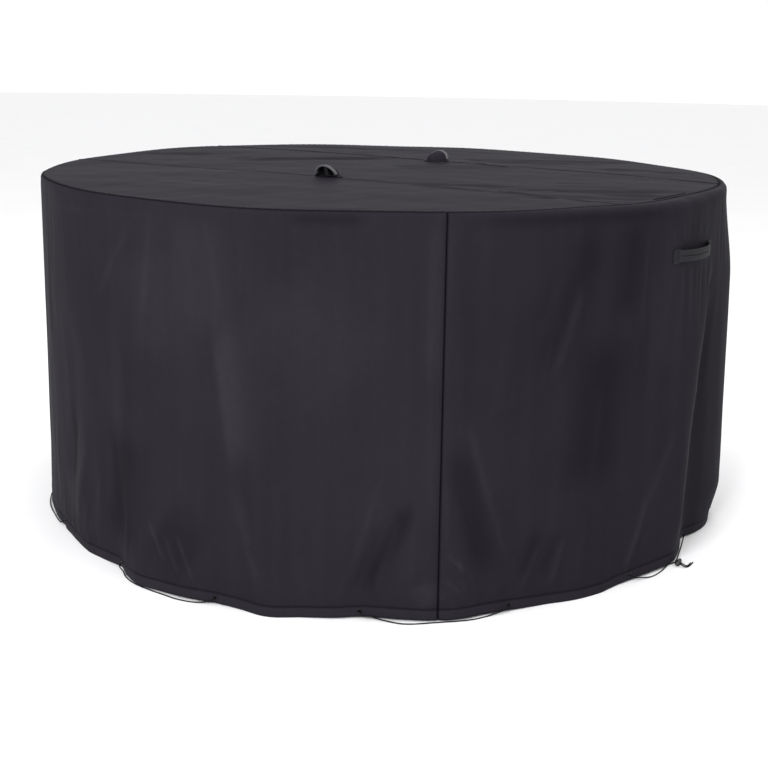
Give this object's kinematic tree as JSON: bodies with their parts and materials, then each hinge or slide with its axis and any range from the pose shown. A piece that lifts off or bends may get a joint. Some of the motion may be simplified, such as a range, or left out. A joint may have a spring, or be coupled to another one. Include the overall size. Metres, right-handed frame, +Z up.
{
  "type": "round patio furniture cover",
  "caption": "Round fabric cover that hangs over a garden dining set, with vent hoods, webbing lift handles and a drawcord hem.",
  "frame": {"origin": "underside of the top, at its centre, where the cover is held up by what it covers", "axes": "+Z up, front of the pictured cover towards -Y, +X to the picture's right"},
  "size_m": [1.8443, 1.8453, 0.9394],
  "materials": {
    "coated_cloth": "satin coated woven polyester, near-black charcoal",
    "binding_tape": "matte woven tape, charcoal",
    "handle_webbing": "matte woven webbing, black",
    "blackened_eyelet": "glossy black coated metal",
    "drawcord": "braided cord, black",
    "lock_plastic": "moulded plastic, black"
  },
  "bodies": {
    "root": {"top_front_panel": "coated_cloth", "top_centre_panel": "coated_cloth", "top_back_panel": "coated_cloth", "skirt_front_left": "coated_cloth", "skirt_front_right": "coated_cloth", "skirt_back_right": "coated_cloth", "skirt_back_left": "coated_cloth", "front_vent_hood": "coated_cloth", "back_vent_hood": "coated_cloth", "front_vent_binding": "binding_tape", "back_vent_binding": "binding_tape", "front_vent_prop": "handle_webbing", "back_vent_prop": "handle_webbing", "handle_right": "handle_webbing", "handle_left": "handle_webbing", "eyelet_01": "blackened_eyelet", "eyelet_02": "blackened_eyelet", "eyelet_03": "blackened_eyelet", "eyelet_04": "blackened_eyelet", "eyelet_05": "blackened_eyelet", "eyelet_06": "blackened_eyelet", "eyelet_07": "blackened_eyelet", "eyelet_08": "blackened_eyelet", "eyelet_09": "blackened_eyelet", "eyelet_10": "blackened_eyelet", "eyelet_11": "blackened_eyelet", "eyelet_12": "blackened_eyelet", "eyelet_13": "blackened_eyelet", "eyelet_14": "blackened_eyelet", "eyelet_15": "blackened_eyelet", "eyelet_16": "blackened_eyelet", "drawcord_left_front": "drawcord", "drawcord_front": "drawcord", "drawcord_right_side": "drawcord", "drawcord_back_right": "drawcord", "drawcord_back": "drawcord", "drawcord_back_left": "drawcord", "drawcord_left_side": "drawcord", "drawcord_long_end": "drawcord", "drawcord_short_end": "drawcord", "cord_lock_barrel": "lock_plastic", "cord_lock_button": "lock_plastic"}
  },
  "joints": []
}
